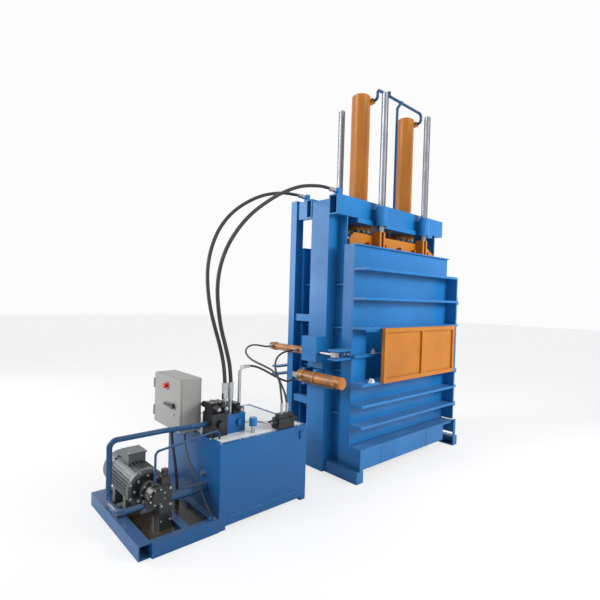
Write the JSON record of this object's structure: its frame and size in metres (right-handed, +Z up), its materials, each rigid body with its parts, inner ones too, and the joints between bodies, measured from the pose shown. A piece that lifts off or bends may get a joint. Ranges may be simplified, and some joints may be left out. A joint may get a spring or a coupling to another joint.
{
  "type": "baling press",
  "caption": "Vertical hydraulic baling press with ribbed bale doors, a sliding feed door, a guided platen, and a skid-mounted power unit with its control cabinet.",
  "frame": {"origin": "on the floor, at the middle of the press's anchor holes, under the middle of the chamber", "axes": "+Z up, +X along the front to the right, the feed door faces -Y, the power unit stands at -X"},
  "size_m": [4.37, 1.314, 4.4],
  "materials": {
    "blue_paint": "gloss machine enamel",
    "orange_paint": "gloss machine enamel",
    "polished_rod": "hard chrome",
    "bare_steel": "machined",
    "motor_grey": "satin machine enamel",
    "valve_steel": "phosphated steel with bright fittings",
    "cabinet_grey": "powder coat",
    "lid_paint": "gloss enamel",
    "tray_brown": "oily painted sheet",
    "black_plastic": "moulded",
    "red_plastic": "moulded",
    "hose_rubber": "hydraulic hose cover"
  },
  "bodies": {
    "press_frame": {"foot_channels": "blue_paint", "base_frame": "blue_paint", "chamber_floor": "blue_paint", "side_walls": "blue_paint", "front_posts": "blue_paint", "rear_posts": "blue_paint", "side_columns": "blue_paint", "top_panels": "blue_paint", "crown_beams": "blue_paint", "crown_bed": "blue_paint", "guide_sleeves": "blue_paint", "tie_beams": "blue_paint", "left_main_cylinder": "orange_paint", "right_main_cylinder": "orange_paint", "crossover_pipe": "blue_paint", "hinge_arms": "blue_paint", "hinge_pins": "bare_steel", "front_clamp_box": "blue_paint", "front_clamp_cylinder": "orange_paint", "rear_clamp_saddles": "blue_paint", "rear_clamp_cylinder": "orange_paint", "power_skid": "blue_paint", "drip_trays": "tray_brown", "oil_tank": "blue_paint", "tank_lid": "lid_paint", "tank_fittings": "bare_steel", "motor_frame": "motor_grey", "drive_shield": "motor_grey", "fan_cowl": "motor_grey", "terminal_box": "motor_grey", "bell_housing": "motor_grey", "hydraulic_pump": "motor_grey", "pump_pipes": "blue_paint", "valve_base": "blue_paint", "main_manifold": "valve_steel", "clamp_manifold": "valve_steel", "cabinet_box": "cabinet_grey", "main_hose_rear": "hose_rubber", "main_hose_front": "hose_rubber", "rear_port_hose": "hose_rubber", "front_port_hose": "hose_rubber", "riser_hose": "hose_rubber", "cabinet_cable": "hose_rubber", "motor_cable": "hose_rubber"},
    "pressing_group": {"platen": "orange_paint", "piston_rods": "polished_rod", "guide_rods": "polished_rod"},
    "front_bale_door": {"front_door": "blue_paint", "front_door_ribs": "blue_paint", "front_door_fork": "blue_paint"},
    "sliding_feed_door": {"feed_door": "orange_paint"},
    "rear_bale_door": {"rear_door": "blue_paint", "rear_door_ribs": "blue_paint", "rear_door_fork": "blue_paint"},
    "front_clamp": {"front_clamp_rod": "polished_rod"},
    "rear_clamp": {"rear_clamp_rod": "polished_rod"},
    "control_door": {"cabinet_door": "cabinet_grey"},
    "control_handle": {"cabinet_handle": "black_plastic"},
    "control_button": {"stop_button": "red_plastic"},
    "rotor": {"motor_rotor": "bare_steel"}
  },
  "joints": [
    {"name": "platen_slide", "type": "slide", "parent": "press_frame", "child": "pressing_group", "axis": [0, 0, -1], "range_m": [0, 1.2]},
    {"name": "front_door_hinge", "type": "hinge", "parent": "press_frame", "child": "front_bale_door", "pos_m": [1.01, -0.5, 1.2], "axis": [0, 0, 1], "range_deg": [0, 90]},
    {"name": "feed_door_slide", "type": "slide", "parent": "front_bale_door", "child": "sliding_feed_door", "axis": [1, 0, 0], "range_m": [-0.148, 0.75]},
    {"name": "rear_door_hinge", "type": "hinge", "parent": "press_frame", "child": "rear_bale_door", "pos_m": [1.01, 0.545, 1.2], "axis": [0, 0, -1], "range_deg": [0, 90]},
    {"name": "front_clamp_slide", "type": "slide", "parent": "press_frame", "child": "front_clamp", "axis": [0, -1, 0], "range_m": [-0.12, 0.045]},
    {"name": "rear_clamp_slide", "type": "slide", "parent": "press_frame", "child": "rear_clamp", "axis": [0, 1, 0], "range_m": [0, 0.34]},
    {"name": "cabinet_door_hinge", "type": "hinge", "parent": "press_frame", "child": "control_door", "pos_m": [-2.718, 0.463, 0.945], "axis": [0, 0, -1], "range_deg": [0, 110]},
    {"name": "cabinet_handle_turn", "type": "hinge", "parent": "control_door", "child": "control_handle", "pos_m": [-2.718, 0.06, 0.93], "axis": [-1, 0, 0], "range_deg": [0, 90]},
    {"name": "stop_button_push", "type": "slide", "parent": "control_door", "child": "control_button", "axis": [1, 0, 0], "range_m": [0, 0.008], "stiffness_N_per_m": 1500},
    {"name": "motor_spin", "type": "hinge", "parent": "press_frame", "child": "rotor", "pos_m": [-3, 0.2, 0.352], "axis": [0, 1, 0], "continuous": true}
  ]
}
